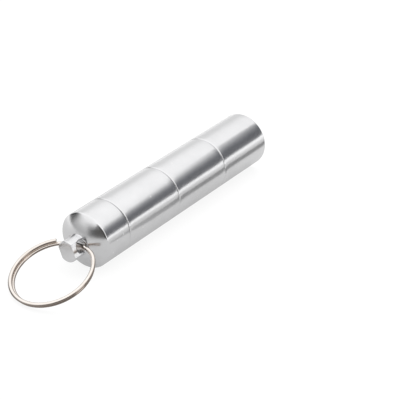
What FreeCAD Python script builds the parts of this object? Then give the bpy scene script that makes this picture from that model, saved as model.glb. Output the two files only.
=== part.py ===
"""Screw-together travel pill organizer: a domed cap with a key-ring post,
three stacked screw compartments, three O-ring seals and a split key ring.

Millimetres. The stack lies along X on the plane Z = 0, cap towards -X.
Every driving size is a row of the sheet "Sizes"; derived rows are formulas.
"""
import FreeCAD, Part
import math
import os

import Sketcher

V = FreeCAD.Vector

# alias, value, what it is
DRIVING = [
    ("body_dia", 17.0, "outside diameter of cap and compartments"),
    ("cap_len", 9.5, "cylindrical length of the cap"),
    ("upper_len", 23.4, "visible length of the upper compartment"),
    ("middle_len", 23.4, "visible length of the middle compartment"),
    ("lower_len", 22.2, "visible length of the lower compartment"),
    ("seam_gap", 0.04, "axial gap left between two shoulders"),
    ("seam_bevel", 0.22, "bevel on both sides of each seam"),
    ("base_bevel", 0.40, "bevel round the flat base"),
    ("pitch", 1.0, "pitch of every thread"),
    ("neck_len", 5.2, "length of a threaded neck"),
    ("neck_dia", 13.7, "crest diameter of the neck thread"),
    ("neck_root_dia", 12.7, "root diameter of the neck thread"),
    ("tip_bevel", 0.35, "lead-in bevel on the neck"),
    ("relief_dia", 12.6, "groove at the foot of the neck that seats the seal"),
    ("relief_len", 1.3, "width of that groove"),
    ("socket_dia", 13.0, "bore diameter of the socket thread"),
    ("socket_root_dia", 14.0, "root diameter of the socket thread"),
    ("runout_dia", 14.1, "run-out groove at the bottom of the socket"),
    ("runout_len", 1.0, "width of the run-out groove"),
    ("seat_dia", 14.7, "counterbore that houses the seal"),
    ("seat_depth", 1.1, "depth of that counterbore"),
    ("thread_angle", 60.0, "included angle of the thread profile"),
    ("crest_flat", 0.15, "flat on the crest of the neck thread"),
    ("flank_gap", 0.12, "axial play on each flank of the thread"),
    ("chamber_dia", 11.4, "bore of each pill chamber"),
    ("chamber_corner", 0.8, "bevel round the floor of each chamber"),
    ("web", 1.5, "wall between a chamber and the socket behind it"),
    ("base_wall", 2.0, "thickness of the base"),
    ("cap_bore_dia", 11.4, "hollow inside the cap"),
    ("cap_bore_depth", 8.0, "depth of that hollow from the seam"),
    ("seal_wire", 1.0, "section diameter of a seal"),
    ("seal_play", 0.02, "play of a seal over its groove"),
    ("post_dia", 6.4, "key-ring post on the dome"),
    ("post_end", 8.0, "end of the post beyond the dome's rim"),
    ("post_bevel", 0.35, "bevel on the end of the post"),
    ("root_flare", 0.3, "flare at the root of the post"),
    ("flat_gap", 5.0, "distance across the two flats of the post"),
    ("hole_dia", 3.5, "cross hole through the post"),
    ("hole_bevel", 0.6, "bevel on both mouths of the cross hole"),
    ("hole_reach", 4.25, "axis of the cross hole beyond the dome's rim"),
    ("hole_roll", 23.5, "roll of the cross hole above the horizontal"),
    ("ring_dia", 25.0, "outside diameter of the split ring"),
    ("wire_wide", 1.2, "radial width of the ring wire"),
    ("wire_thick", 0.9, "axial thickness of the ring wire"),
    ("wire_corner", 0.3, "corner radius of the ring wire"),
    ("coil_gap", 0.06, "gap between the two coils"),
    ("coil_step", 0.4, "radial step from the outer coil to the inner one"),
    ("jog_start", -42.0, "where the crossing leaves the outer coil, degrees"),
    ("jog_end", 33.0, "where it joins the inner coil, degrees"),
    ("jog_dent", 0.4, "inward bend of the crossing between the coils"),
    ("wire_reach", 3.7, "ring wire inside the hole, beyond the dome's rim"),
    ("wire_lift", 0.35, "ring wire above the axis of the stack"),
    ("lean_trim", 0.05, "trim that brings the leaning ring down to the floor"),
    ("ring_roll", 4.8, "roll of the ring about the stack, degrees"),
]

# alias, formula over the rows above
DERIVED = [
    ("body_rad", "=body_dia / 2"),
    ("dome_edge", "=0"),
    ("seam_1", "=cap_len"),
    ("seam_2", "=cap_len + upper_len"),
    ("seam_3", "=cap_len + upper_len + middle_len"),
    ("neck_rad", "=neck_dia / 2"),
    ("neck_root_rad", "=neck_root_dia / 2"),
    ("relief_rad", "=relief_dia / 2"),
    ("socket_rad", "=socket_dia / 2"),
    ("socket_root_rad", "=socket_root_dia / 2"),
    ("socket_depth", "=neck_len + runout_len"),
    ("runout_rad", "=runout_dia / 2"),
    ("seat_rad", "=seat_dia / 2"),
    ("chamber_rad", "=chamber_dia / 2"),
    ("cap_bore_rad", "=cap_bore_dia / 2"),
    ("post_rad", "=post_dia / 2"),
    ("root_rad", "=post_rad + root_flare"),
    ("dome_rad", "=body_rad * sqrt(2)"),
    ("dome_root", "=sqrt(dome_rad * dome_rad - root_rad * root_rad) - body_rad"),
    ("root_reach", "=dome_root + root_flare"),
    ("half_pitch", "=pitch / 2"),
    ("slope", "=tan(thread_angle * 1deg / 2)"),
    ("neck_out_rad", "=neck_rad + 0.2"),
    ("neck_high", "=(pitch - crest_flat) / 2 + 0.2 * slope"),
    ("neck_low", "=(pitch - crest_flat) / 2 - (neck_rad - neck_root_rad) * slope"),
    ("socket_in_rad", "=socket_rad - 0.2"),
    ("socket_high", "=crest_flat / 2 + flank_gap + (neck_rad - socket_in_rad) * slope"),
    ("socket_low", "=crest_flat / 2 + flank_gap - (socket_root_rad - neck_rad) * slope"),
    ("neck_run", "=neck_len + half_pitch - relief_len + 0.4"),
    ("socket_run", "=neck_len - seat_depth + 0.2"),
    ("seal_rad", "=relief_rad + seal_play + seal_wire / 2"),
    ("flat_half", "=flat_gap / 2"),
    ("hole_rad", "=hole_dia / 2"),
    ("mouth_rad", "=hole_rad + hole_bevel"),
    ("hole_out", "=post_rad + 0.4"),
    ("outer_coil", "=ring_dia / 2 - wire_wide / 2"),
    ("inner_coil", "=outer_coil - coil_step"),
    ("coil_pitch", "=wire_thick + coil_gap"),
    ("stack_half", "=wire_thick + coil_gap / 2"),
    ("jog_part", "=-jog_start / (jog_end - jog_start)"),
    ("jog_share", "=jog_part * jog_part * (3 - 2 * jog_part)"),
    ("jog_bump", "=16 * jog_part * jog_part * (1 - jog_part) * (1 - jog_part)"),
    ("crossing_rad", "=outer_coil - coil_step * jog_share - jog_dent * jog_bump"),
    ("crossing_high", "=coil_pitch * (0.5 - jog_share)"),
    ("lean_drop", "=body_rad + wire_lift - crossing_high - stack_half + lean_trim"),
    ("ring_tilt", "=asin(lean_drop / (crossing_rad + ring_dia / 2)) / 1deg"),
    ("ring_reach", "=wire_reach + (crossing_rad + ring_dia / 2) * cos(ring_tilt * 1deg) + stack_half / 3"),
    ("centre_x", "=(seam_3 + lower_len - ring_reach) / 2"),
]

doc = FreeCAD.newDocument("pill_organizer")
sheet = doc.addObject("Spreadsheet::Sheet", "Sizes")


def fill_sheet():
    row = 1
    for alias, number, note in DRIVING:
        sheet.set("A%d" % row, alias)
        sheet.set("B%d" % row, repr(number))
        sheet.set("C%d" % row, note)
        sheet.setAlias("B%d" % row, alias)
        row += 1
    for alias, formula in DERIVED:
        sheet.set("A%d" % row, alias)
        sheet.set("B%d" % row, formula)
        sheet.setAlias("B%d" % row, alias)
        row += 1
    doc.recompute()


def size(alias):
    return float(sheet.get(alias))


def total(text):
    """Value of a sum such as 'cap_len - seam_gap', read from the sheet."""
    result = 0.0
    sign = 1.0
    for word in text.split():
        if word == "+":
            sign = 1.0
        elif word == "-":
            sign = -1.0
        elif word[0].isdigit():
            result += sign * float(word)
        else:
            result += sign * size(word)
    return result


def formula(text):
    """The same sum as an expression over the sheet."""
    words = []
    for word in text.split():
        if word in "+-" or word[0].isdigit():
            words.append(word)
        else:
            words.append("Sizes." + word)
    return " ".join(words)


def origin_plane(body, role):
    for feature in body.Origin.OriginFeatures:
        if feature.Role == role:
            return feature
    raise RuntimeError("no plane " + role)


def new_body(label):
    body = doc.addObject("PartDesign::Body", label)
    body.Label = label
    return body


def new_sketch(body, name, role="XY_Plane"):
    sketch = body.newObject("Sketcher::SketchObject", name)
    sketch.AttachmentSupport = [(origin_plane(body, role), "")]
    sketch.MapMode = "FlatFace"
    return sketch


def pin(sketch, edge, end, axis, text):
    """Hold one end of an edge at a distance from the sketch origin."""
    if text == "0":
        line = -2 if axis == "X" else -1
        sketch.addConstraint(Sketcher.Constraint("PointOnObject", edge, end, line))
        return
    kind = "Distance" + axis
    index = sketch.addConstraint(Sketcher.Constraint(kind, -1, 1, edge, end, total(text)))
    sketch.setExpression("Constraints[%d]" % index, formula(text))


def outline(sketch, corners):
    """Closed outline; a corner marked 'arc' starts an arc centred on the X axis."""
    count = len(corners)
    spots = [V(total(c[0]), total(c[1]), 0) for c in corners]
    for k in range(count):
        start = spots[k]
        stop = spots[(k + 1) % count]
        if len(corners[k]) == 3:
            centre = arc_centre(start, stop)
            circle = Part.Circle(centre, V(0, 0, 1), (start - centre).Length)
            first = math.atan2(start.y - centre.y, start.x - centre.x)
            last = math.atan2(stop.y - centre.y, stop.x - centre.x)
            sketch.addGeometry(Part.ArcOfCircle(circle, first, last))
            sketch.addConstraint(Sketcher.Constraint("PointOnObject", k, 3, -1))
        else:
            sketch.addGeometry(Part.LineSegment(start, stop))
    for k in range(count):
        sketch.addConstraint(Sketcher.Constraint("Coincident", k, 2, (k + 1) % count, 1))
        pin(sketch, k, 1, "X", corners[k][0])
        pin(sketch, k, 1, "Y", corners[k][1])


def arc_centre(start, stop):
    """Point of the X axis at the same distance from both ends."""
    across = stop.x - start.x
    squares = stop.x ** 2 + stop.y ** 2 - start.x ** 2 - start.y ** 2
    return V(squares / (2 * across), 0, 0)


def revolve(body, name, corners):
    sketch = new_sketch(body, name + "_profile")
    outline(sketch, corners)
    turned = body.newObject("PartDesign::Revolution", name)
    turned.Profile = sketch
    turned.ReferenceAxis = (sketch, ["H_Axis"])
    turned.Angle = 360
    doc.recompute()
    return turned


def cut_thread(body, name, corners, run):
    """Helical groove along the stack; corners are the groove's section."""
    before = body.Shape.Volume
    sketch = new_sketch(body, name + "_section")
    outline(sketch, corners)
    groove = body.newObject("PartDesign::SubtractiveHelix", name)
    groove.Profile = sketch
    groove.ReferenceAxis = (sketch, ["H_Axis"])
    groove.Mode = 0
    groove.setExpression("Pitch", "Sizes.pitch")
    groove.setExpression("Height", "Sizes." + run)
    groove.Angle = 0
    doc.recompute()
    if body.Shape.Volume > before - 5:
        raise RuntimeError(name + " cut nothing")


def neck_thread(body, name):
    """Outside thread: groove between crests that are crest_flat wide."""
    cut = [
        ("- neck_len - half_pitch - neck_low", "neck_root_rad"),
        ("- neck_len - half_pitch + neck_low", "neck_root_rad"),
        ("- neck_len - half_pitch + neck_high", "neck_out_rad"),
        ("- neck_len - half_pitch - neck_high", "neck_out_rad"),
    ]
    cut_thread(body, name, cut, "neck_run")


def socket_thread(body, name, seam):
    """Inside thread: groove that the crests of the neck run in."""
    cut = [
        (seam + " - neck_len - socket_high", "socket_in_rad"),
        (seam + " - neck_len + socket_high", "socket_in_rad"),
        (seam + " - neck_len + socket_low", "socket_root_rad"),
        (seam + " - neck_len - socket_low", "socket_root_rad"),
    ]
    cut_thread(body, name, cut, "socket_run")


def socket_corners(seam):
    """From the floor of a socket out to its rim, ready for a closed outline."""
    return [
        (seam + " - socket_depth", "runout_rad"),
        (seam + " - socket_depth + runout_len", "runout_rad"),
        (seam + " - socket_depth + runout_len", "socket_rad"),
        (seam + " - seat_depth", "socket_rad"),
        (seam + " - seat_depth", "seat_rad"),
        (seam + " - seam_gap", "seat_rad"),
        (seam + " - seam_gap", "body_rad - seam_bevel"),
        (seam + " - seam_gap - seam_bevel", "body_rad"),
    ]


def neck_corners():
    """From the shoulder down the neck and into its mouth."""
    return [
        ("seam_bevel", "body_rad"),
        ("0", "body_rad - seam_bevel"),
        ("0", "relief_rad"),
        ("- relief_len", "relief_rad"),
        ("- relief_len", "neck_rad"),
        ("- neck_len + tip_bevel", "neck_rad"),
        ("- neck_len", "neck_rad - tip_bevel"),
        ("- neck_len", "chamber_rad"),
    ]


def make_cap():
    body = new_body("cap")
    dome = [
        ("0", "body_rad", "arc"),
        ("- dome_root", "root_rad"),
        ("- root_reach", "post_rad"),
        ("- post_end + post_bevel", "post_rad"),
        ("- post_end", "post_rad - post_bevel"),
        ("- post_end", "0"),
        ("cap_len - cap_bore_depth", "0"),
        ("cap_len - cap_bore_depth", "cap_bore_rad"),
        ("cap_len - socket_depth", "cap_bore_rad"),
    ]
    revolve(body, "cap_turned", dome + socket_corners("cap_len"))
    socket_thread(body, "cap_thread", "cap_len")
    mill_flats(body)
    drill_hole(body)
    return body


def mill_flats(body):
    for name, side in (("flat_front", ""), ("flat_back", "- ")):
        before = body.Shape.Volume
        sketch = new_sketch(body, name + "_shape", "XY_Plane")
        inner = side + "flat_half"
        outer = side + "hole_out"
        outline(sketch, [
            ("- root_reach", inner),
            ("- root_reach", outer),
            ("- post_end - 1", outer),
            ("- post_end - 1", inner),
        ])
        cut = body.newObject("PartDesign::Pocket", name)
        cut.Profile = sketch
        cut.Type = "Length"
        cut.Midplane = True
        cut.setExpression("Length", "Sizes.body_dia")
        doc.recompute()
        if body.Shape.Volume > before - 1:
            raise RuntimeError(name + " cut nothing")


def drill_hole(body):
    """Cross hole along the body's own Y, flared at both flats."""
    before = body.Shape.Volume
    sketch = new_sketch(body, "hole_shape", "XY_Plane")
    near = "- hole_reach + hole_rad"
    wide = "- hole_reach + mouth_rad"
    outline(sketch, [
        ("- hole_reach", "- hole_out"),
        (wide, "- hole_out"),
        (wide, "- flat_half"),
        (near, "- flat_half + hole_bevel"),
        (near, "flat_half - hole_bevel"),
        (wide, "flat_half"),
        (wide, "hole_out"),
        ("- hole_reach", "hole_out"),
    ])
    hole = body.newObject("PartDesign::Groove", "cross_hole")
    hole.Profile = sketch
    along = total("- hole_reach")
    axis = sketch.addGeometry(Part.LineSegment(V(along, -9, 0), V(along, 9, 0)), True)
    sketch.addConstraint(Sketcher.Constraint("Vertical", axis))
    pin(sketch, axis, 1, "X", "- hole_reach")
    hole.ReferenceAxis = (sketch, ["Axis0"])
    hole.Angle = 360
    doc.recompute()
    if body.Shape.Volume > before - 10:
        raise RuntimeError("the cross hole cut nothing")


def make_compartment(label, length):
    """Threaded neck and chamber on one end, threaded socket on the other."""
    body = new_body(label)
    floor = length + " - socket_depth - web"
    inside = [
        (floor + " - chamber_corner", "chamber_rad"),
        (floor, "chamber_rad - chamber_corner"),
        (floor, "0"),
        (length + " - socket_depth", "0"),
    ]
    corners = neck_corners() + inside + socket_corners(length)
    revolve(body, label + "_turned", corners)
    neck_thread(body, label + "_neck_thread")
    socket_thread(body, label + "_socket_thread", length)
    return body


def make_last_compartment(label, length):
    """Threaded neck and chamber on one end, flat closed base on the other."""
    body = new_body(label)
    floor = length + " - base_wall"
    inside = [
        (floor + " - chamber_corner", "chamber_rad"),
        (floor, "chamber_rad - chamber_corner"),
        (floor, "0"),
        (length, "0"),
        (length, "body_rad - base_bevel"),
        (length + " - base_bevel", "body_rad"),
    ]
    revolve(body, label + "_turned", neck_corners() + inside)
    neck_thread(body, label + "_neck_thread")
    return body


def make_seal(label, seam):
    seal = doc.addObject("Part::Torus", label)
    seal.Label = label
    seal.setExpression("Radius1", "Sizes.seal_rad")
    seal.setExpression("Radius2", "Sizes.seal_wire / 2")
    quarter = FreeCAD.Rotation(V(0, 1, 0), 90)
    seal.Placement = FreeCAD.Placement(V(0, 0, 0), quarter)
    along = "Sizes.%s - Sizes.centre_x - Sizes.seal_play - Sizes.seal_wire / 2"
    seal.setExpression("Placement.Base.x", along % seam)
    seal.setExpression("Placement.Base.z", "Sizes.body_rad")
    return seal


def ring_path():
    """Two flat coils joined by one crossing, as a smooth wire."""
    start = size("jog_start")
    stop = size("jog_end")
    reach = 360.0 + start
    steps = 96
    spots = []
    for k in range(steps + 1):
        angle = stop + (360.0 + reach - stop) * k / steps
        share = (angle - reach) / (360.0 + stop - reach)
        part = min(1.0, max(0.0, share))
        share = part * part * (3.0 - 2.0 * part)
        bump = 16.0 * part * part * (1.0 - part) * (1.0 - part)
        radius = size("outer_coil") - size("coil_step") * share - size("jog_dent") * bump
        height = size("coil_pitch") * (0.5 - share)
        turn = math.radians(angle)
        spots.append(V(radius * math.cos(turn), radius * math.sin(turn), height))
    curve = Part.BSplineCurve()
    curve.interpolate(spots)
    return Part.Wire([curve.toShape()]), math.radians(stop)


def wire_section(turn):
    """Rounded rectangle standing across the outer coil at the given angle."""
    corner = size("wire_corner")
    across = size("wire_wide") / 2 - corner
    tall = size("wire_thick") / 2 - corner
    middle = V(size("outer_coil"), 0, size("coil_pitch") / 2)
    edges = []
    marks = [(across, tall), (-across, tall), (-across, -tall), (across, -tall)]
    for k in range(4):
        centre = middle + V(marks[k][0], 0, marks[k][1])
        first = centre + corner_step(corner, 90 * k)
        half = centre + corner_step(corner, 90 * k + 45)
        last = centre + corner_step(corner, 90 * k + 90)
        edges.append(Part.Arc(first, half, last).toShape())
        after = middle + V(marks[(k + 1) % 4][0], 0, marks[(k + 1) % 4][1])
        edges.append(Part.LineSegment(last, after + corner_step(corner, 90 * k + 90)).toShape())
    section = Part.Wire(edges)
    section.rotate(V(0, 0, 0), V(0, 0, 1), math.degrees(turn))
    return section


def corner_step(length, degrees):
    turn = math.radians(degrees)
    return V(length * math.cos(turn), 0, length * math.sin(turn))


def ring_placement():
    tilt = FreeCAD.Rotation(V(0, 1, 0), -size("ring_tilt"))
    roll = FreeCAD.Rotation(V(1, 0, 0), -size("ring_roll"))
    turn = tilt.multiply(roll)
    arm = turn.multVec(V(size("crossing_rad"), 0, size("crossing_high")))
    wire = V(-size("wire_reach") - size("centre_x"), 0, size("body_rad") + size("wire_lift"))
    return FreeCAD.Placement(wire - arm, turn)


def make_ring():
    path, turn = ring_path()
    pipe = Part.BRepOffsetAPI.MakePipeShell(path)
    pipe.setBiNormalMode(V(0, 0, 1))
    pipe.add(wire_section(turn))
    pipe.build()
    pipe.makeSolid()
    ring = doc.addObject("Part::Feature", "split_ring")
    ring.Label = "split_ring"
    ring.Shape = pipe.shape()
    ring.Placement = ring_placement()
    return ring


def place(body, seam):
    """Lay a turned piece on the floor; one common roll keeps threads in phase."""
    roll = FreeCAD.Rotation(V(1, 0, 0), -size("hole_roll"))
    body.Placement = FreeCAD.Placement(V(0, 0, 0), roll)
    body.setExpression("Placement.Base.x", "Sizes.%s - Sizes.centre_x" % seam)
    body.setExpression("Placement.Base.z", "Sizes.body_rad")


def main():
    fill_sheet()
    nodes = []
    cap = make_cap()
    place(cap, "dome_edge")
    nodes.append(cap)
    nodes.append(make_ring())
    upper = make_compartment("compartment_upper", "upper_len")
    place(upper, "seam_1")
    nodes.append(upper)
    middle = make_compartment("compartment_middle", "middle_len")
    place(middle, "seam_2")
    nodes.append(middle)
    lower = make_last_compartment("compartment_lower", "lower_len")
    place(lower, "seam_3")
    nodes.append(lower)
    nodes.append(make_seal("seal_upper", "seam_1"))
    nodes.append(make_seal("seal_middle", "seam_2"))
    nodes.append(make_seal("seal_lower", "seam_3"))
    doc.recompute()
    check_states()
    os.makedirs("parts", exist_ok=True)
    for node in nodes:
        shape = node.Shape
        if shape.isNull() or not shape.isValid() or len(shape.Solids) != 1:
            raise RuntimeError(node.Label + " is not one valid solid")
        shape.exportStep("parts/" + node.Label + ".step")
        print(node.Label, round(shape.Volume, 2))


def check_states():
    for thing in doc.Objects:
        if "Invalid" in thing.State or "Error" in thing.State:
            raise RuntimeError(thing.Name + " failed to recompute")


main()
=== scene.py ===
"""Travel pill holder: a screw-together metal stack with a split key ring.

Laid out as an add-on: sizes and finishes are properties, and every piece has
its own operator. Units are metres; the stack lies along X, cap towards -X.
"""

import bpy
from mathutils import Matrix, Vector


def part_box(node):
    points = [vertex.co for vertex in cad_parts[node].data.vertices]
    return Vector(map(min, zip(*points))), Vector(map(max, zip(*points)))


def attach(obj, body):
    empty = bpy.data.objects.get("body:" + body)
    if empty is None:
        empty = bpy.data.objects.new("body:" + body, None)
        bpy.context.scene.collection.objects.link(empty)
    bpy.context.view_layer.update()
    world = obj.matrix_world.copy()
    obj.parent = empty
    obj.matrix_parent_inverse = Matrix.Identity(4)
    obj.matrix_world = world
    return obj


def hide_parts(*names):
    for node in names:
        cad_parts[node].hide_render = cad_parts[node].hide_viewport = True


bl_info = {
    "name": "Travel Pill Holder",
    "version": (1, 0, 0),
    "blender": (4, 5, 0),
    "location": "View3D > Sidebar > Pill Holder",
    "description": "Builds a slim turned-metal pill holder around its packed frame",
    "category": "Object",
}

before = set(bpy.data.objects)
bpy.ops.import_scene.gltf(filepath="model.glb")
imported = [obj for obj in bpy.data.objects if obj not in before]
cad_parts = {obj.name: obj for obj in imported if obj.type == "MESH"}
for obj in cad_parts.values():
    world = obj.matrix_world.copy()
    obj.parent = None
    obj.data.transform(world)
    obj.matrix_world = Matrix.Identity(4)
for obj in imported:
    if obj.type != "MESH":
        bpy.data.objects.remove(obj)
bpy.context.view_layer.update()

import math

import bmesh
import bpy
from bpy.props import FloatProperty, FloatVectorProperty, IntProperty, PointerProperty
from mathutils import Matrix, Vector

MM = 0.001

CAP_LOW, CAP_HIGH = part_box("cap")
UPPER_LOW, UPPER_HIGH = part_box("compartment_upper")
MIDDLE_LOW, MIDDLE_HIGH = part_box("compartment_middle")
LOWER_LOW, LOWER_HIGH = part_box("compartment_lower")

# screw joints: necks, sockets and the seat of each seal
NECK_CREST = 6.85 * MM
NECK_ROOT = 6.35 * MM
NECK_FOOT = 1.3 * MM       # plain length under the shoulder, where the seal sits
NECK_FOOT_RADIUS = 6.3 * MM
NECK_LEAD = 0.35 * MM
NECK_GROOVE = (0.136 * MM, 0.425 * MM)      # half widths at its root and at the crest
SOCKET_CREST = 6.5 * MM
SOCKET_ROOT = 7.0 * MM
SOCKET_GROOVE = (0.108 * MM, 0.397 * MM)
RUN_OUT = 1.0 * MM         # plain groove at the floor of a socket
RUN_OUT_RADIUS = 7.05 * MM
SEAT_DEPTH = 1.1 * MM
SEAT_RADIUS = 7.35 * MM
RIM_BREAK = 0.06 * MM
CAP_SIDE_SHARE = 0.5       # a socket's rim has this share of the seam's bevel

# small roundings
COVE = 0.3 * MM            # at the root of the post
POST_ROUNDING = 0.35 * MM
CHAMBER_CORNER = 0.8 * MM

CAP_DEPTH = 8.0 * MM       # from the cap's seam to the ceiling of its chamber
SEAM_SHADE_FROM = 7.2 * MM       # the painted seam shade on a shoulder starts at this radius
SEAM_SHADE_SHORT = 0.25 * MM     # and ends this far short of the outside
SEAM_SHADE_REACH = 0.3 * MM      # along the stack, each way from the seam
PLAIN_FROM = 0.4 * MM      # the plain outside starts this far from a seam

# the wire crosses from the outer coil to the inner one between these angles
CROSSING_START, CROSSING_STOP = -42.0, 33.0
CROSSING_DIP = 0.4 * MM    # inwards, at the middle of the crossing
WIRE_SQUARENESS = 2.15     # 2 is a plain oval
WIRE_REACH = 3.7 * MM      # from the dome's edge to the wire inside the hole
WIRE_LIFT = 0.35 * MM      # of that wire above the stack's axis

# sockets of the colour mix node
MIX_FACTOR, MIX_FIRST, MIX_SECOND, MIX_RESULT = 0, 6, 7, 2
TOUCHES_AXIS = 1e-9


class PillHolderSizes(bpy.types.PropertyGroup):
    """Sizes of the turned pieces and of the key ring."""

    body_radius: FloatProperty(
        name="Body radius",
        description="Outside radius of the stack",
        default=8.5 * MM, unit="LENGTH")
    seam_bevel: FloatProperty(
        name="Seam bevel",
        description="Bevel on the base side of a seam",
        default=0.42 * MM, unit="LENGTH")
    seam_gap: FloatProperty(
        name="Seam gap",
        description="Gap between two shoulders",
        default=0.04 * MM, unit="LENGTH")
    seam_open: FloatProperty(
        name="Seam opening",
        description="Extra shadow gap at the outside of a seam",
        default=0.08 * MM, unit="LENGTH")
    base_bevel: FloatProperty(
        name="Base bevel",
        description="Bevel round the flat base",
        default=0.4 * MM, unit="LENGTH")
    neck_length: FloatProperty(
        name="Neck length",
        description="Length of a threaded neck",
        default=5.2 * MM, unit="LENGTH")
    pitch: FloatProperty(
        name="Pitch",
        description="Pitch of the threads",
        default=1.0 * MM, unit="LENGTH")
    chamber_radius: FloatProperty(
        name="Chamber radius",
        description="Bore of each chamber",
        default=5.7 * MM, unit="LENGTH")
    post_radius: FloatProperty(
        name="Post radius",
        description="Radius of the key-ring post",
        default=3.2 * MM, unit="LENGTH")
    post_end: FloatProperty(
        name="Post end",
        description="End of the post beyond the rim of the dome",
        default=8.0 * MM, unit="LENGTH")
    flat_half: FloatProperty(
        name="Flat distance",
        description="Distance of each flat from the axis",
        default=2.5 * MM, unit="LENGTH")
    hole_radius: FloatProperty(
        name="Hole radius",
        description="Radius of the cross hole",
        default=1.75 * MM, unit="LENGTH")
    hole_bevel: FloatProperty(
        name="Hole bevel",
        description="Bevel on the mouths of the hole",
        default=0.6 * MM, unit="LENGTH")
    hole_reach: FloatProperty(
        name="Hole reach",
        description="Hole axis beyond the rim of the dome",
        default=4.25 * MM, unit="LENGTH")
    hole_roll: FloatProperty(
        name="Hole roll",
        description="Roll of the hole above the horizontal",
        default=math.radians(23.5), unit="ROTATION")
    ring_radius: FloatProperty(
        name="Ring radius",
        description="Outside radius of the split ring",
        default=12.5 * MM, unit="LENGTH")
    wire_wide: FloatProperty(
        name="Wire width",
        description="Radial width of the ring wire",
        default=1.2 * MM, unit="LENGTH")
    wire_thick: FloatProperty(
        name="Wire thickness",
        description="Axial thickness of the ring wire",
        default=0.9 * MM, unit="LENGTH")
    coil_gap: FloatProperty(
        name="Coil gap",
        description="Gap between the two coils",
        default=0.06 * MM, unit="LENGTH")
    coil_step: FloatProperty(
        name="Coil step",
        description="Radial step from coil to coil",
        default=0.4 * MM, unit="LENGTH")
    ring_tilt: FloatProperty(
        name="Ring tilt",
        description="Lean of the ring down to the floor",
        default=math.radians(19.816), unit="ROTATION")
    ring_roll: FloatProperty(
        name="Ring roll",
        description="Roll of the ring about the stack",
        default=math.radians(4.8), unit="ROTATION")
    facets: IntProperty(
        name="Facets",
        description="Facets round a turned piece",
        default=288, min=48)


class PillHolderFinish(bpy.types.PropertyGroup):
    """Colours and finishes."""

    aluminium: FloatVectorProperty(
        name="Aluminium",
        description="Colour of the turned aluminium",
        subtype="COLOR", default=(0.86, 0.86, 0.87), min=0, max=1)
    ring_steel: FloatVectorProperty(
        name="Ring steel",
        description="Colour of the nickel-plated ring",
        subtype="COLOR", default=(0.97, 0.915, 0.87), min=0, max=1)
    rubber: FloatVectorProperty(
        name="Rubber",
        description="Colour of the seals",
        subtype="COLOR", default=(0.018, 0.018, 0.02), min=0, max=1)
    floor: FloatVectorProperty(
        name="Floor",
        description="Colour of the table",
        subtype="COLOR", default=(0.88, 0.88, 0.88), min=0, max=1)


def sizes():
    """The sizes of this scene."""
    return bpy.context.scene.pill_sizes


def finish():
    """The colours of this scene."""
    return bpy.context.scene.pill_finish


# ---------------------------------------------------------------- shaders

def new_material(name):
    """Empty node material."""
    material = bpy.data.materials.new(name)
    material.use_nodes = True
    material.node_tree.nodes.clear()
    return material


def node(material, kind, **settings):
    """New node with its settings."""
    made = material.node_tree.nodes.new(kind)
    for key, setting in settings.items():
        setattr(made, key, setting)
    return made


def join(material, out, into):
    """Link one socket to another."""
    material.node_tree.links.new(out, into)


def maths(material, operation, first, second=None):
    """Result of a sum on sockets or plain numbers."""
    made = node(material, "ShaderNodeMath", operation=operation)
    for socket, given in zip(made.inputs, (first, second)):
        if given is None:
            continue
        if isinstance(given, (int, float)):
            socket.default_value = given
        else:
            join(material, given, socket)
    return made.outputs[0]


def ramp(material, factor, stops):
    """Colour ramp; a stop is (place, grey or colour)."""
    made = node(material, "ShaderNodeValToRGB")
    band = made.color_ramp
    while len(band.elements) < len(stops):
        band.elements.new(0.5)
    for element, (place, shade) in zip(band.elements, stops):
        element.position = place
        element.color = (shade, shade, shade, 1.0) if isinstance(shade, float) else (*shade, 1.0)
    join(material, factor, made.inputs[0])
    return made.outputs[0]


def noise(material, vector, scale, detail=2.0, roughness=0.5, dimensions="3D"):
    """Noise over a vector, or over one length if 1D."""
    made = node(material, "ShaderNodeTexNoise", noise_dimensions=dimensions)
    made.inputs["Scale"].default_value = scale
    made.inputs["Detail"].default_value = detail
    made.inputs["Roughness"].default_value = roughness
    join(material, vector, made.inputs["W" if dimensions == "1D" else "Vector"])
    return made.outputs[0]


def mix_shades(material, factor, first, second):
    """Colour between two, each a socket or a plain (red, green, blue)."""
    made = node(material, "ShaderNodeMix", data_type="RGBA")
    join(material, factor, made.inputs[MIX_FACTOR])
    for place, given in ((MIX_FIRST, first), (MIX_SECOND, second)):
        if isinstance(given, bpy.types.NodeSocket):
            join(material, given, made.inputs[place])
        else:
            made.inputs[place].default_value = (*given, 1.0)
    return made.outputs[MIX_RESULT]


def bumps(material, height, depth, strength=1.0, under=None):
    """Normal with a height laid over it, and over the normal under it."""
    made = node(material, "ShaderNodeBump")
    made.inputs["Strength"].default_value = strength
    made.inputs["Distance"].default_value = depth
    join(material, height, made.inputs["Height"])
    if under is not None:
        join(material, under, made.inputs["Normal"])
    return made.outputs[0]


def close(material, shader, kind="ShaderNodeOutputMaterial"):
    """Send the shader to the output."""
    join(material, shader, node(material, kind).inputs[0])


def lathe_coordinate(material):
    """A length that only changes across the tool marks: along X and with radius."""
    place = node(material, "ShaderNodeTexCoord").outputs["Object"]
    parts = node(material, "ShaderNodeSeparateXYZ")
    join(material, place, parts.inputs[0])
    up = maths(material, "SUBTRACT", parts.outputs[2], sizes().body_radius)
    side = parts.outputs[1]
    squares = maths(material, "ADD", maths(material, "MULTIPLY", side, side),
                    maths(material, "MULTIPLY", up, up))
    radius = maths(material, "SQRT", squares)
    across = maths(material, "MULTIPLY", parts.outputs[0], 1.37)
    return place, maths(material, "SUBTRACT", radius, across), radius


def stretched(material, place, factors):
    """Coordinate scaled along each axis."""
    made = node(material, "ShaderNodeMapping")
    made.inputs["Scale"].default_value = factors
    join(material, place, made.inputs[0])
    return made.outputs[0]


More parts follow.
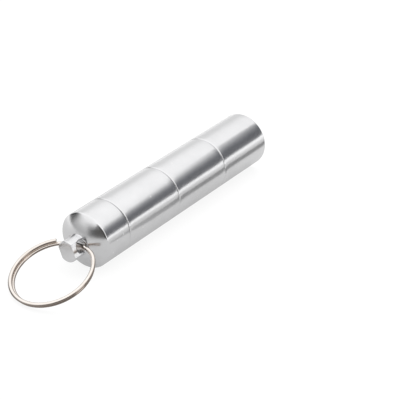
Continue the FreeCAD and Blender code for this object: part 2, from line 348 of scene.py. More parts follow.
def turned_aluminium(name, roughness, anisotropy, mark_depth, coarse_depth):
    """Bright turned aluminium: fine tool marks round the axis, faint handling marks."""
    material = new_material(name)
    place, lathe, radius = lathe_coordinate(material)
    shader = node(material, "ShaderNodeBsdfPrincipled")
    shader.inputs["Metallic"].default_value = 1.0
    shader.inputs["Anisotropic"].default_value = anisotropy
    shader.inputs["Anisotropic Rotation"].default_value = 0.25
    tangent = node(material, "ShaderNodeTangent", direction_type="RADIAL", axis="X")
    join(material, tangent.outputs[0], shader.inputs["Tangent"])

    fine = noise(material, lathe, 9000.0, 3.0, 0.6, "1D")
    coarse = noise(material, lathe, 2100.0, 2.0, 0.5, "1D")
    cloud = noise(material, place, 160.0, 3.0, 0.55)
    rub = noise(material, stretched(material, place, (60.0, 700.0, 700.0)), 1.0, 2.0, 0.5)
    # very small pits and dust, white on the metal
    dust = node(material, "ShaderNodeTexVoronoi", feature="F1")
    dust.inputs["Scale"].default_value = 560.0
    dust.inputs["Randomness"].default_value = 1.0
    join(material, place, dust.inputs["Vector"])
    chance = noise(material, place, 700.0, 0.0)
    small = ramp(material, dust.outputs["Distance"], [(0.0, 1.0), (0.085, 1.0), (0.11, 0.0)])
    rare = ramp(material, chance, [(0.0, 0.0), (0.61, 0.0), (0.625, 1.0)])
    specks = maths(material, "MULTIPLY", small, rare)

    base = tuple(finish().aluminium)
    cloudy = ramp(material, cloud, [(0.3, 0.0), (0.7, 1.0)])
    tone = mix_shades(material, cloudy, [c * 0.95 for c in base], base)
    speckled = mix_shades(material, specks, tone, (0.97, 0.97, 0.96))
    join(material, speckled, shader.inputs["Base Color"])

    spread = maths(material, "MULTIPLY", cloud, 0.05)
    wiped = maths(material, "MULTIPLY", rub, 0.04)
    rough = maths(material, "ADD", maths(material, "ADD", spread, wiped), roughness - 0.045)
    # the bevels and the dome's edge are cut last and left smoother
    edge = ramp(material, maths(material, "MULTIPLY", radius, 1 / sizes().body_radius),
                [(0.0, 0.0), (0.945, 0.0), (0.955, 1.0), (0.9982, 1.0), (0.9992, 0.0)])
    keen = maths(material, "SUBTRACT", rough, maths(material, "MULTIPLY", edge, 0.10))
    flecked = maths(material, "ADD", keen, maths(material, "MULTIPLY", specks, 0.5))
    join(material, flecked, shader.inputs["Roughness"])

    marks = bumps(material, fine, mark_depth)
    waves = bumps(material, coarse, coarse_depth, under=marks)
    speck = noise(material, place, 3300.0, 1.0, 0.5)
    grain = bumps(material, speck, 0.0000055, under=waves)
    join(material, grain, shader.inputs["Normal"])
    close(material, shader.outputs[0])
    return material


def plated_steel():
    """Nickel plate on drawn wire: warm, glossy, slightly uneven, with painted shade on the sides of
    the wire.
    """
    material = new_material("nickel_plate")
    place = node(material, "ShaderNodeTexCoord").outputs["Object"]
    shader = node(material, "ShaderNodeBsdfPrincipled")
    shader.inputs["Metallic"].default_value = 1.0
    cloud = noise(material, place, 420.0, 3.0, 0.6)
    steel = tuple(finish().ring_steel)
    cloudy = ramp(material, cloud, [(0.3, 0.0), (0.65, 1.0)])
    worn = (steel[0] * 0.93, steel[1] * 0.915, steel[2] * 0.89)
    tone = mix_shades(material, cloudy, worn, steel)
    # painted shade: the rounded sides of the wire are coloured dark brown, standing in for the dark
    # room they reflect
    rim = node(material, "ShaderNodeAttribute", attribute_name="rim").outputs["Fac"]
    edge = ramp(material, rim, [(0.0, 0.0), (0.50, 0.0), (0.88, 0.90), (1.0, 1.0)])
    painted_side_shade = (steel[0] * 0.34, steel[1] * 0.297, steel[2] * 0.27)
    join(material, mix_shades(material, edge, tone, painted_side_shade), shader.inputs["Base Color"])
    rough = maths(material, "ADD", maths(material, "MULTIPLY", cloud, 0.08), 0.05)
    join(material, rough, shader.inputs["Roughness"])
    drawn = bumps(material, noise(material, place, 900.0, 2.0, 0.5), 0.000003, 0.6)
    join(material, drawn, shader.inputs["Normal"])
    close(material, shader.outputs[0])
    return material


def seal_rubber():
    """Black moulded rubber with a dry sheen."""
    material = new_material("seal_rubber")
    place = node(material, "ShaderNodeTexCoord").outputs["Object"]
    shader = node(material, "ShaderNodeBsdfPrincipled")
    grain = noise(material, place, 2600.0, 3.0, 0.6)
    rubber = tuple(finish().rubber)
    tone = mix_shades(material, grain, rubber, [c * 1.8 + 0.004 for c in rubber])
    join(material, tone, shader.inputs["Base Color"])
    rough = maths(material, "ADD", maths(material, "MULTIPLY", grain, 0.2), 0.42)
    join(material, rough, shader.inputs["Roughness"])
    join(material, bumps(material, grain, 0.00001, 0.5), shader.inputs["Normal"])
    close(material, shader.outputs[0])
    return material


# ---------------------------------------------------------------- turned shapes

def thread_radius(along, turn, start, crest, root, narrow, wide):
    """Radius of a threaded wall; start is where a groove crosses the zero angle.

    Nearer to the groove's middle than narrow the wall is at its root, and
    further than wide it is at its crest.
    """
    step = (along - start) / sizes().pitch - turn / (2 * math.pi)
    away = abs(step - round(step)) * sizes().pitch
    if away <= narrow:
        share = 0.0
    elif away >= wide:
        share = 1.0
    else:
        share = (away - narrow) / (wide - narrow)
    return root + (crest - root) * share


def neck_wall():
    """(x, rule) rows up a neck, from its foot to its tip; x is from the shoulder."""
    length = sizes().neck_length
    start = -length - sizes().pitch / 2
    rows = []
    steps = 78
    for k in range(steps + 1):
        along = -NECK_FOOT - (length - NECK_FOOT) * k / steps
        lead = NECK_CREST - max(0.0, NECK_LEAD - (along + length))

        def rule(turn, along=along, lead=lead):
            wall = thread_radius(along, turn, start, NECK_CREST, NECK_ROOT, *NECK_GROOVE)
            return min(wall, lead)

        rows.append((along, rule))
    return rows


def socket_wall(seam):
    """(x, rule) rows of a threaded socket, from its floor out to the seal's seat."""
    length = sizes().neck_length
    start = seam - length
    rows = []
    steps = 82
    for k in range(steps + 1):
        along = seam - length + (length - SEAT_DEPTH) * k / steps

        def rule(turn, along=along):
            return thread_radius(along, turn, start, SOCKET_CREST, SOCKET_ROOT, *SOCKET_GROOVE)

        rows.append((along, rule))
    return rows


def socket_rows(seam):
    """Socket floor, run-out groove, thread, seal seat and rim, going outwards."""
    s = sizes()
    floor = seam - s.neck_length - RUN_OUT
    rim = seam - s.seam_gap - s.seam_open
    rows = [(floor, RUN_OUT_RADIUS), (floor + RUN_OUT, RUN_OUT_RADIUS)]
    rows += socket_wall(seam)
    rows += [
        (seam - SEAT_DEPTH, SEAT_RADIUS),
        (rim - RIM_BREAK, SEAT_RADIUS),
        (rim, SEAT_RADIUS + RIM_BREAK),
    ]
    return rows


def bevel_rows(edge, side, bevel, radius):
    """A bevel rounded over from the face to the barrel; side +1 faces +X."""
    rows = [(edge, radius - bevel - 0.03 * MM)]
    for k in range(10):
        turn = math.radians(90.0 * k / 9)
        rows.append((edge - side * bevel * (1 - math.cos(turn)),
                     radius - bevel * (1 - math.sin(turn))))
    return rows


def side_rows(start, stop, radius, count):
    """Plain rows along the outside."""
    return [(start + (stop - start) * k / count, radius) for k in range(1, count)]


def link_piece(name, mesh):
    """Object of a mesh, linked into the scene."""
    piece = bpy.data.objects.new(name, mesh)
    bpy.context.scene.collection.objects.link(piece)
    return piece


def stack_place(shift):
    """Place on the stack's axis, rolled as the post's hole is."""
    axis = Matrix.Translation((shift, 0.0, sizes().body_radius))
    return axis @ Matrix.Rotation(-sizes().hole_roll, 4, "X")


def skin_faces(rings):
    """Faces between neighbouring rings; a ring may be one point repeated."""
    faces = []
    for first, second in zip(rings, rings[1:]):
        count = len(first)
        for k in range(count):
            n = (k + 1) % count
            corners = [first[k], first[n], second[n], second[k]]
            clean = [c for i, c in enumerate(corners) if c != corners[i - 1]]
            if len(clean) > 2:
                faces.append(clean)
    return faces


def turned_piece(name, rows, shift):
    """Closed skin of rows (x, radius or rule) about the stack's axis."""
    s = sizes()
    count = s.facets
    mesh = bpy.data.meshes.new(name)
    points = []
    rings = []
    for along, radius in rows:
        if not callable(radius) and radius <= TOUCHES_AXIS:
            points.append((along, 0.0, 0.0))
            rings.append([len(points) - 1] * count)
            continue
        ring = []
        for k in range(count):
            turn = 2 * math.pi * k / count
            r = radius(turn) if callable(radius) else radius
            points.append((along, r * math.cos(turn), r * math.sin(turn)))
            ring.append(len(points) - 1)
        rings.append(ring)
    mesh.from_pydata(points, [], skin_faces(rings))
    mesh.transform(stack_place(shift))
    mesh.update()
    piece = link_piece(name, mesh)
    tidy_normals(piece, 24)
    return piece


def tidy_normals(piece, angle):
    """Turn faces outwards, and shade smooth below the angle in degrees."""
    work = bmesh.new()
    work.from_mesh(piece.data)
    bmesh.ops.recalc_face_normals(work, faces=work.faces)
    work.to_mesh(piece.data)
    work.free()
    piece.data.polygons.foreach_set("use_smooth", [True] * len(piece.data.polygons))
    piece.data.set_sharp_from_angle(angle=math.radians(angle))
    piece.data.update()


def wear(piece, material):
    """Make this the only material of the piece."""
    piece.data.materials.clear()
    piece.data.materials.append(material)


def shade_seam_shoulders(piece, seams):
    """Paint dark shade on the shoulders that meet at a seam, where the narrow gap is in shadow."""
    s = sizes()
    piece.data.materials.append(painted_seam_shade())
    for face in piece.data.polygons:
        middle = face.center
        radius = math.hypot(middle[1], middle[2] - s.body_radius)
        near = any(abs(middle[0] - seam) < SEAM_SHADE_REACH for seam in seams)
        if near and SEAM_SHADE_FROM < radius < s.body_radius - SEAM_SHADE_SHORT:
            face.material_index = 1


def painted_seam_shade():
    """Dark metal that paints the shade inside a seam, made once."""
    material = bpy.data.materials.get("painted_seam_shade")
    if material:
        return material
    material = new_material("painted_seam_shade")
    lathe = lathe_coordinate(material)[1]
    shader = node(material, "ShaderNodeBsdfPrincipled")
    shader.inputs["Metallic"].default_value = 1.0
    shader.inputs["Roughness"].default_value = 0.45
    marks = noise(material, lathe, 6000.0, 2.0, 0.5, "1D")
    tone = mix_shades(material, marks, (0.15, 0.15, 0.15), (0.27, 0.27, 0.27))
    join(material, tone, shader.inputs["Base Color"])
    close(material, shader.outputs[0])
    return material


def carve(piece, cutters):
    """Cut the cutters out of the piece for good."""
    for cutter in cutters:
        cut = piece.modifiers.new("cut", "BOOLEAN")
        cut.operation = "DIFFERENCE"
        cut.solver = "EXACT"
        cut.object = cutter
    bpy.context.view_layer.update()
    graph = bpy.context.evaluated_depsgraph_get()
    mesh = bpy.data.meshes.new_from_object(piece.evaluated_get(graph))
    piece.modifiers.clear()
    old = piece.data
    piece.data = mesh
    bpy.data.meshes.remove(old)
    for cutter in cutters:
        bpy.data.objects.remove(cutter)


def block(name, low, high, place):
    """A plain cutter between two corners."""
    work = bmesh.new()
    bmesh.ops.create_cube(work, size=1.0)
    span = Vector(high) - Vector(low)
    bmesh.ops.scale(work, vec=span, verts=work.verts)
    bmesh.ops.translate(work, vec=(Vector(high) + Vector(low)) / 2, verts=work.verts)
    mesh = bpy.data.meshes.new(name)
    work.to_mesh(mesh)
    work.free()
    mesh.transform(place)
    return link_piece(name, mesh)


def flared_drill(place):
    """Cutter for the cross hole along the post's own Y, with rounded flared mouths."""
    s = sizes()
    rows = []
    out = s.post_radius + 0.4 * MM
    wide = s.hole_radius + s.hole_bevel
    rows += [(-out, 0.0), (-out, wide + 0.05 * MM), (-s.flat_half, wide)]
    for k in range(1, 7):
        share = k / 7
        rows.append((-s.flat_half + s.hole_bevel * share,
                     wide - s.hole_bevel * math.sin(share * math.pi / 2)))
    rows.append((-s.flat_half + s.hole_bevel, s.hole_radius))
    rows += [(-along, radius) for along, radius in reversed(rows)]
    count = 96
    points = []
    rings = []
    for along, radius in rows:
        if radius == 0.0:
            points.append((-s.hole_reach, along, 0.0))
            rings.append([len(points) - 1] * count)
            continue
        ring = []
        for k in range(count):
            turn = 2 * math.pi * k / count
            points.append((-s.hole_reach + radius * math.cos(turn), along, radius * math.sin(turn)))
            ring.append(len(points) - 1)
        rings.append(ring)
    mesh = bpy.data.meshes.new("drill")
    mesh.from_pydata(points, [], skin_faces(rings))
    work = bmesh.new()
    work.from_mesh(mesh)
    bmesh.ops.recalc_face_normals(work, faces=work.faces)
    work.to_mesh(mesh)
    work.free()
    mesh.transform(place)
    return link_piece("drill", mesh)


# ---------------------------------------------------------------- the ring

def ring_frame():
    """Place of the ring's own frame: its centre, with the wire in the hole."""
    s = sizes()
    tilt = Matrix.Rotation(-s.ring_tilt, 4, "Y")
    roll = Matrix.Rotation(-s.ring_roll, 4, "X")
    turn = tilt @ roll
    radius, height = wire_line(0.0)
    arm = turn @ Vector((radius, 0.0, height))
    dome_edge = CAP_LOW[0] + s.post_end
    wire = Vector((dome_edge - WIRE_REACH, 0.0, s.body_radius + WIRE_LIFT))
    return Matrix.Translation(wire - arm) @ turn


def wire_line(degrees):
    """Radius and height of the wire's middle at an angle in the crossing's turn."""
    s = sizes()
    crossing = CROSSING_STOP - CROSSING_START
    part = min(1.0, max(0.0, (degrees - CROSSING_START) / crossing))
    share = part * part * (3.0 - 2.0 * part)
    bump = 16.0 * part * part * (1.0 - part) * (1.0 - part)
    outer = s.ring_radius - s.wire_wide / 2
    pitch = s.wire_thick + s.coil_gap
    return outer - s.coil_step * share - CROSSING_DIP * bump, pitch * (0.5 - share)


def wire_section(count):
    """Section of the rolled wire, (across, up) pairs: a slightly squared oval."""
    s = sizes()
    outline = []
    for k in range(count):
        turn = 2 * math.pi * (k + 0.5) / count
        c, n = math.cos(turn), math.sin(turn)
        full = (abs(c) ** WIRE_SQUARENESS + abs(n) ** WIRE_SQUARENESS) ** (-1 / WIRE_SQUARENESS)
        outline.append((s.wire_wide / 2 * full * c, s.wire_thick / 2 * full * n))
    return outline


def ring_mesh():
    """The whole wire: outer coil, crossing through the post, inner coil."""
    s = sizes()
    outline = wire_section(28)
    first, last = CROSSING_STOP, 720.0 + CROSSING_START
    steps = 900
    points = []
    faces = []
    rows = []
    for k in range(steps + 1):
        degrees = first + (last - first) * k / steps
        radius, height = wire_line(degrees - 360.0 if degrees > 250 else CROSSING_START)
        if k in (0, steps):
            rows.append((degrees, radius, height, 0.86))
            degrees += 0.35 if k == 0 else -0.35
        rows.append((degrees, radius, height, 1.0))
    rows.sort()
    for degrees, radius, height, full in rows:
        turn = math.radians(degrees)
        for a, b in outline:
            r = radius + a * full
            points.append((r * math.cos(turn), r * math.sin(turn), height + b * full))
    size = len(outline)
    for k in range(len(rows) - 1):
        for j in range(size):
            n = (j + 1) % size
            faces.append((k * size + j, k * size + n, (k + 1) * size + n, (k + 1) * size + j))
    faces.append(tuple(range(size)))
    faces.append(tuple(reversed(range((len(rows) - 1) * size, len(rows) * size))))
    mesh = bpy.data.meshes.new("split_ring_wire")
    mesh.from_pydata(points, [], faces)
    # rim: 0 at the middle of the wire's width, 1 at its sides; it masks the painted shade on the
    # wire's sides
    rim = mesh.attributes.new("rim", "FLOAT", "POINT")
    edges = [abs(across) / (s.wire_wide / 2) for across, _ in outline]
    rim.data.foreach_set("value", edges * len(rows))
    mesh.transform(ring_frame())
    return mesh


# ---------------------------------------------------------------- operators

class PILL_OT_cap(bpy.types.Operator):
    """Turn the domed cap, mill the flats on its post and drill the cross hole"""

    bl_idname = "pill.cap"
    bl_label = "Cap"

    def execute(self, context):
        s = sizes()
        dome_edge = CAP_LOW[0] + s.post_end
        seam = CAP_HIGH[0] + s.seam_gap - dome_edge
        root = s.post_radius + COVE
        ceiling = seam - CAP_DEPTH
        rows = [(ceiling, 0.0), (ceiling, s.chamber_radius)]
        rows += [(seam - s.neck_length - RUN_OUT, s.chamber_radius)]
        rows += socket_rows(seam)
        rim = seam - s.seam_gap - s.seam_open
        rows += bevel_rows(rim, 1, s.seam_bevel * CAP_SIDE_SHARE, s.body_radius)
        rows += side_rows(seam - PLAIN_FROM, 0.05 * MM, s.body_radius, 8)
        # the ridge where the barrel meets the dome is only just rounded
        for along, below in ((0.17, 0.0), (0.10, 0.008), (0.04, 0.027), (-0.01, 0.055)):
            rows.append((along * MM, s.body_radius - below * MM))
        dome = s.body_radius * math.sqrt(2.0)
        foot = math.asin(root / dome)
        ridge = math.radians(44.3)
        for k in range(49):
            turn = ridge + (foot - ridge) * k / 48
            rows.append((s.body_radius - dome * math.cos(turn), dome * math.sin(turn)))
        dome_root = rows[-1][0]
        # small cove at the root of the post
        for k in range(1, 7):
            turn = math.radians(90.0 * k / 6)
            rows.append((dome_root - COVE * (1 - math.cos(turn)), root - COVE * math.sin(turn)))
        end = -s.post_end
        rows += side_rows(dome_root - 0.34 * MM, end + 0.4 * MM, s.post_radius, 14)
        for k in range(6):
            turn = math.radians(90.0 * k / 5)
            rows.append((end + POST_ROUNDING * (1 - math.sin(turn)),
                         s.post_radius - POST_ROUNDING * (1 - math.cos(turn))))
        rows += [(end, s.post_radius * 0.66), (end, s.post_radius * 0.33), (end, 0.0)]
        cap = turned_piece("cap_shell", rows, dome_edge)
        place = stack_place(dome_edge)
        reach = dome_root - COVE
        wide = s.post_radius + 1.0 * MM
        front = block("front", (end - 1 * MM, s.flat_half, -wide), (reach, wide, wide), place)
        back = block("back", (end - 1 * MM, -wide, -wide), (reach, -s.flat_half, wide), place)
        carve(cap, [front, back, flared_drill(place)])
        tidy_normals(cap, 26)
        wear(cap, turned_aluminium("cap_aluminium", 0.20, 0.55, 0.0000040, 0.0000035))
        shade_seam_shoulders(cap, [CAP_HIGH[0]])
        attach(cap, "cap")
        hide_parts("cap")
        return {"FINISHED"}


class PILL_OT_compartments(bpy.types.Operator):
    """Turn the three screw compartments with their necks, chambers and sockets"""

    bl_idname = "pill.compartments"
    bl_label = "Compartments"

    def execute(self, context):
        metal = turned_aluminium("barrel_aluminium", 0.20, 0.6, 0.0000022, 0.0000012)
        for word, low, high in (("upper", UPPER_LOW, UPPER_HIGH),
                                ("middle", MIDDLE_LOW, MIDDLE_HIGH),
                                ("lower", LOWER_LOW, LOWER_HIGH)):
            self.compartment(word, low, high, metal)
        return {"FINISHED"}

    def compartment(self, word, low, high, metal):
        s = sizes()
        shoulder = low[0] + s.neck_length
        last = word == "lower"
        seam = high[0] - shoulder + (0.0 if last else s.seam_gap)
        rows = self.chamber(seam, last)
        rows += [(-s.neck_length, s.chamber_radius), (-s.neck_length, 6.42 * MM)]
        rows += list(reversed(neck_wall()))
        rows += [(-NECK_FOOT, NECK_FOOT_RADIUS), (0.0, NECK_FOOT_RADIUS)]
        rows += [(0.0, 7.6 * MM), (s.seam_open, 7.65 * MM)]
        rows += bevel_rows(s.seam_open, -1, s.seam_bevel, s.body_radius)
        if last:
            rows += side_rows(PLAIN_FROM, seam - 0.6 * MM, s.body_radius, 12)
            rows += list(reversed(bevel_rows(seam, 1, s.base_bevel, s.body_radius)))
            rows += [(seam, s.body_radius * share) for share in (0.8, 0.6, 0.4, 0.2)]
            rows += [(seam, 0.0)]
        else:
            rows += side_rows(PLAIN_FROM, seam - PLAIN_FROM, s.body_radius, 12)
            rim = seam - s.seam_gap - s.seam_open
            bevel = s.seam_bevel * CAP_SIDE_SHARE
            rows += list(reversed(bevel_rows(rim, 1, bevel, s.body_radius)))
            rows += list(reversed(socket_rows(seam)))
            floor = seam - s.neck_length - RUN_OUT
            rows += [(floor, 3.0 * MM), (floor, 0.0)]
        piece = turned_piece(word + "_barrel", rows, shoulder)
        wear(piece, metal)
        shade_seam_shoulders(piece, [shoulder] if last else [shoulder, high[0]])
        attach(piece, word)
        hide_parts("compartment_" + word)

    def chamber(self, seam, last):
        """Floor and wall of the pill chamber, floor first, with a rounded corner."""
        s = sizes()
        floor = seam - (2.0 * MM if last else s.neck_length + 2.5 * MM)
        rows = [(floor, 0.0), (floor, s.chamber_radius * 0.5)]
        for k in range(6):
            turn = math.radians(90.0 * k / 5)
            rows.append((floor - CHAMBER_CORNER * (1 - math.cos(turn)),
                         s.chamber_radius - CHAMBER_CORNER * (1 - math.sin(turn))))
        return rows


class PILL_OT_seals(bpy.types.Operator):
    """Mould the three rubber seals"""

    bl_idname = "pill.seals"
    bl_label = "Seals"

    def execute(self, context):
        rubber = seal_rubber()
        for word in ("upper", "middle", "lower"):
            low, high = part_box("seal_" + word)
            middle = (low + high) / 2
            section = (high[0] - low[0]) / 2
            ring = (high[2] - low[2]) / 2 - section
            points = []
            faces = []
            around, across = 160, 20
            for i in range(around):
                turn = 2 * math.pi * i / around
                for j in range(across):
                    lean = 2 * math.pi * j / across
                    radius = ring + section * math.cos(lean)
                    points.append((middle[0] + section * math.sin(lean), radius * math.cos(turn),
                                   middle[2] + radius * math.sin(turn)))
            for i in range(around):
                for j in range(across):
                    n = (i + 1) % around
                    m = (j + 1) % across
                    faces.append((i * across + j, n * across + j, n * across + m, i * across + m))
            mesh = bpy.data.meshes.new(word + "_seal_ring")
            mesh.from_pydata(points, [], faces)
            piece = link_piece(word + "_seal_ring", mesh)
            tidy_normals(piece, 60)
            wear(piece, rubber)
            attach(piece, word + "_seal")
            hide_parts("seal_" + word)
        return {"FINISHED"}


class PILL_OT_ring(bpy.types.Operator):
    """Coil the split key ring through the hole of the post"""

    bl_idname = "pill.ring"
    bl_label = "Split ring"

    def execute(self, context):
        piece = link_piece("split_ring_wire", ring_mesh())
        tidy_normals(piece, 50)
        wear(piece, plated_steel())
        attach(piece, "ring")
        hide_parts("split_ring")
        return {"FINISHED"}


def studio_only(piece):
    """Keep a card out of everything but reflections."""
    piece.visible_camera = False
    piece.visible_diffuse = False
    piece.visible_shadow = False
    piece.visible_transmission = False


def glowing_card(name, mesh, axis, stops):
    """Card with a glow graded along one axis of its box, 0 for X to 2 for Z."""
    piece = link_piece(name, mesh)
    material = new_material(name + "_card")
    parts = node(material, "ShaderNodeSeparateXYZ")
    join(material, node(material, "ShaderNodeTexCoord").outputs["Generated"], parts.inputs[0])
    light = node(material, "ShaderNodeEmission")
    join(material, ramp(material, parts.outputs[axis], stops), light.inputs[0])
    close(material, light.outputs[0])
    wear(piece, material)
    studio_only(piece)


def graded_card(name, azimuths, distance, heights, stops, steps=24):
    """Upright curved card round the stack, whose glow changes with height."""
    mesh = bpy.data.meshes.new(name)
    points = []
    faces = []
    for i in range(steps + 1):
        turn = math.radians(azimuths[0] + (azimuths[1] - azimuths[0]) * i / steps)
        for height in heights:
            points.append((distance * math.cos(turn), distance * math.sin(turn), height))
    for i in range(steps):
        faces.append((2 * i, 2 * i + 2, 2 * i + 3, 2 * i + 1))
    mesh.from_pydata(points, [], faces)
    glowing_card(name, mesh, 2, stops)


def floor_shade_card():
    """Low grey card on the table beside the stack, seen only in its lower side: a painted
    reflection of the shade on the table there.
    """
    s = sizes()
    near, far = -s.body_radius - 12.5 * MM, -s.body_radius - 34.0 * MM
    above = 0.2 * MM
    mesh = bpy.data.meshes.new("floor_shade_card")
    corners = [(-0.004, far, above), (0.16, far, above), (0.16, near, above), (0.004, near, above)]
    mesh.from_pydata(corners, [], [(0, 1, 2, 3)])
    glowing_card("floor_shade_card", mesh, 0, [(0.0, 0.44), (0.25, 0.26), (1.0, 0.25)])


def heading(world, parts, degrees):
    """How far a direction points to a heading, 1 along it and 0 across it."""
    turn = math.radians(degrees)
    return maths(world, "ADD", maths(world, "MULTIPLY", parts.outputs[0], math.cos(turn)),
                 maths(world, "MULTIPLY", parts.outputs[1], math.sin(turn)))


def studio_world():
    """Room seen by shiny metal: dim walls, a white sweep behind, a bright ceiling."""
    world = bpy.data.worlds.new("studio_air")
    world.use_nodes = True
    world.node_tree.nodes.clear()
    parts = node(world, "ShaderNodeSeparateXYZ")
    join(world, node(world, "ShaderNodeTexCoord").outputs["Generated"], parts.inputs[0])
    walls = ramp(world, parts.outputs[2], [
        (0.0, 0.46), (0.05, 0.24), (0.12, 0.10), (0.18, 0.08), (0.36, 0.09),
        (0.47, 0.40), (0.58, 1.02), (1.0, 1.14)])
    sweep = ramp(world, parts.outputs[2], [
        (0.0, 0.82), (0.24, 0.74), (0.40, 0.80), (0.58, 1.02), (1.0, 1.14)])
    # a paler wall on the far left
    pale = ramp(world, parts.outputs[2], [
        (0.0, 0.60), (0.05, 0.36), (0.14, 0.46), (0.30, 0.56), (0.42, 0.80),
        (0.50, 0.96), (0.58, 1.02), (1.0, 1.14)])
    behind = heading(world, parts, 35.0)
    back_share = ramp(world, behind, [(0.0, 0.0), (0.50, 0.0), (0.72, 1.0), (1.0, 1.0)])
    left = heading(world, parts, 146.0)
    left_share = ramp(world, left, [(0.0, 0.0), (0.80, 0.0), (0.91, 1.0), (1.0, 1.0)])
    room = mix_shades(world, back_share, mix_shades(world, left_share, walls, pale), sweep)
    path = node(world, "ShaderNodeLightPath")
    seen = mix_shades(world, path.outputs["Is Glossy Ray"], (0.98, 0.98, 0.98), room)
    back = node(world, "ShaderNodeBackground")
    join(world, seen, back.inputs[0])
    close(world, back.outputs[0], "ShaderNodeOutputWorld")
    return world


def soft_light(name, place, target, width, watts, shade):
    """Square soft lamp that lights the scene but stays out of reflections."""
    lamp = bpy.data.lights.new(name, "AREA")
    lamp.shape = "RECTANGLE"
    lamp.size = width
    lamp.size_y = width
    lamp.energy = watts
    lamp.color = shade
    piece = link_piece(name, lamp)
    piece.location = place
    piece.rotation_mode = "QUATERNION"
    piece.rotation_quaternion = (Vector(target) - Vector(place)).to_track_quat("-Z", "Y")
    piece.visible_glossy = False


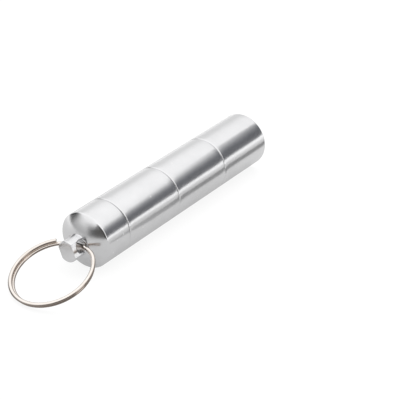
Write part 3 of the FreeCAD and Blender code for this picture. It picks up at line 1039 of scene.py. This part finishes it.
class PILL_OT_stage(bpy.types.Operator):
    """Lay the table, hang the studio lights and cards, and set the camera"""

    bl_idname = "pill.stage"
    bl_label = "Stage"

    def execute(self, context):
        self.table()
        self.lights()
        self.camera()
        return {"FINISHED"}

    def table(self):
        mesh = bpy.data.meshes.new("table_top")
        half = 3.0
        corners = [(-half, -half, 0), (half, -half, 0), (half, half, 0), (-half, half, 0)]
        mesh.from_pydata(corners, [], [(0, 1, 2, 3)])
        top = link_piece("table_top", mesh)
        top.location = (0, 0, -0.05 * MM)
        material = new_material("table_white")
        place = node(material, "ShaderNodeTexCoord").outputs["Object"]
        shader = node(material, "ShaderNodeBsdfDiffuse")
        white = tuple(finish().floor)
        mottle = noise(material, place, 30.0, 2.0, 0.5)
        tone = mix_shades(material, mottle, [c * 0.080 for c in white], [c * 0.085 for c in white])
        # painted reflection: metal sees the table greyer near the camera side, lighter behind
        parts = node(material, "ShaderNodeSeparateXYZ")
        join(material, place, parts.inputs[0])
        along = maths(material, "ADD", maths(material, "MULTIPLY", parts.outputs[0], 5.0),
                      maths(material, "MULTIPLY", parts.outputs[1], 6.0))
        spot = maths(material, "ADD", along, 0.3)
        reflected_table_shade = ramp(material, spot, [(0.0, 0.10), (0.35, 0.10), (1.0, 0.20)])
        reflected_table_glow = ramp(material, spot, [(0.0, 0.41), (0.35, 0.44), (1.0, 0.50)])
        path = node(material, "ShaderNodeLightPath")
        shiny = path.outputs["Is Glossy Ray"]
        join(material, mix_shades(material, shiny, tone, reflected_table_shade), shader.inputs["Color"])
        # the table glows evenly to the camera, which lifts its shadows; the glow that metal sees is
        # part of the painted reflection
        glow = node(material, "ShaderNodeEmission")
        join(material, mix_shades(material, shiny, (0.89, 0.89, 0.89), reflected_table_glow), glow.inputs[0])
        both = node(material, "ShaderNodeAddShader")
        join(material, shader.outputs[0], both.inputs[0])
        join(material, glow.outputs[0], both.inputs[1])
        close(material, both.outputs[0])
        wear(top, material)

    def lights(self):
        scene = bpy.context.scene
        scene.view_settings.view_transform = "Standard"
        scene.view_settings.look = "None"
        scene.world = studio_world()
        soft_light("overhead", (0.10, 0.05, 0.80), (0.0, 0.0, 0.0), 1.3, 17.0, (1.0, 0.995, 0.985))
        graded_card("side_flag", (-78.0, -12.0), 0.180, (0.031, 0.150), [
            (0.0, (0.135, 0.138, 0.147)),
            (0.35, (0.115, 0.118, 0.130)),
            (0.55, (0.165, 0.170, 0.183)),
            (0.80, (0.40, 0.405, 0.415)),
            (1.0, (0.86, 0.86, 0.86)),
        ])
        graded_card("slot_light", (-78.0, -12.0), 0.184, (0.001, 0.031),
                    [(0.0, 0.72), (0.4, 1.12), (1.0, 1.22)])
        graded_card("camera_flag", (-168.0, -112.0), 0.300, (0.028, 0.235), [
            (0.0, (0.075, 0.072, 0.070)),
            (0.75, (0.075, 0.072, 0.070)),
            (1.0, (0.60, 0.60, 0.60)),
        ])
        graded_card("strip_light", (-109.0, -84.0), 0.300, (0.016, 0.300),
                    [(0.0, 1.6), (1.0, 1.6)])
        floor_shade_card()

    def camera(self):
        scene = bpy.context.scene
        s = sizes()
        seam = CAP_HIGH[0] + s.seam_gap
        data = bpy.data.cameras.new("studio_camera")
        data.sensor_width = 36.0
        data.lens = 121.7
        data.clip_start = 0.01
        data.clip_end = 20.0
        eye = bpy.data.objects.new("studio_camera", data)
        scene.collection.objects.link(eye)
        forward = Vector((0.7116, 0.4988, -0.4949)).normalized()
        right = forward.cross(Vector((0, 0, 1))).normalized()
        over = right.cross(forward)
        roll = 0.0210
        tipped = right * math.cos(roll) + over * math.sin(roll)
        head = over * math.cos(roll) - right * math.sin(roll)
        turn = Matrix((tipped, head, -forward)).transposed()
        spot = Vector((seam, 0.0, 0.0)) + Vector((-0.2548, -0.2106, 0.2054))
        eye.matrix_world = Matrix.Translation(spot) @ turn.to_4x4()
        scene.camera = eye


class PILL_PT_panel(bpy.types.Panel):
    """Sizes, finishes and the steps that build the holder"""

    bl_idname = "PILL_PT_panel"
    bl_label = "Pill Holder"
    bl_space_type = "VIEW_3D"
    bl_region_type = "UI"
    bl_category = "Pill Holder"

    def draw(self, context):
        layout = self.layout
        for group in (context.scene.pill_sizes, context.scene.pill_finish):
            box = layout.box()
            for name in group.__class__.__annotations__:
                box.prop(group, name)
        for step in STEPS:
            layout.operator(step.bl_idname)


STEPS = (PILL_OT_cap, PILL_OT_compartments, PILL_OT_seals, PILL_OT_ring, PILL_OT_stage)
CLASSES = (PillHolderSizes, PillHolderFinish, *STEPS, PILL_PT_panel)


def register():
    for kind in CLASSES:
        bpy.utils.register_class(kind)
    bpy.types.Scene.pill_sizes = PointerProperty(type=PillHolderSizes)
    bpy.types.Scene.pill_finish = PointerProperty(type=PillHolderFinish)


def unregister():
    del bpy.types.Scene.pill_finish
    del bpy.types.Scene.pill_sizes
    for kind in reversed(CLASSES):
        bpy.utils.unregister_class(kind)


def main():
    register()
    bpy.ops.pill.cap()
    bpy.ops.pill.compartments()
    bpy.ops.pill.seals()
    bpy.ops.pill.ring()
    bpy.ops.pill.stage()
    bpy.context.view_layer.update()


if __name__ == "__main__":
    main()
